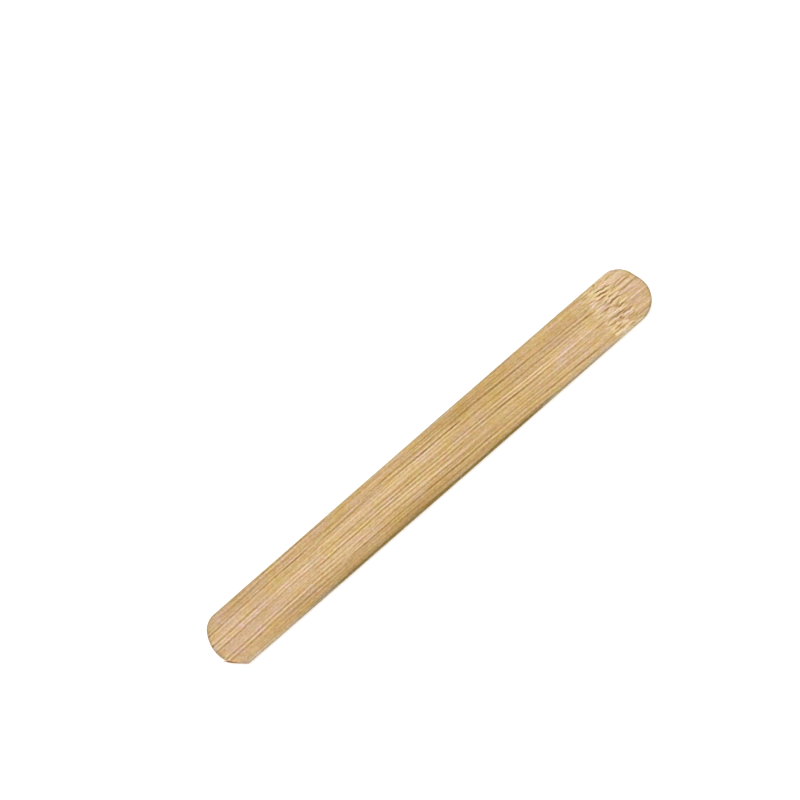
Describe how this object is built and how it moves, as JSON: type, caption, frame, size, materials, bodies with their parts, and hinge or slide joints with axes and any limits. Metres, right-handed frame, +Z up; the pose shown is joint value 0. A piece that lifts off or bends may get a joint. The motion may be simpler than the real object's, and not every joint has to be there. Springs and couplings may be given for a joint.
{
  "type": "tongue depressor",
  "caption": "Flat bamboo blade with rounded ends, used to hold the tongue down while the mouth and throat are looked at.",
  "frame": {"origin": "under the middle of the blade, on the flat face that it rests on", "axes": "+X along the blade towards the end with the bamboo node, +Y across the blade, +Z up through its thickness"},
  "size_m": [0.14, 0.015, 0.0019],
  "materials": {
    "bamboo": "matte, sanded bamboo with the fibres along the blade"
  },
  "bodies": {
    "root": {"blade": "bamboo"}
  },
  "joints": []
}
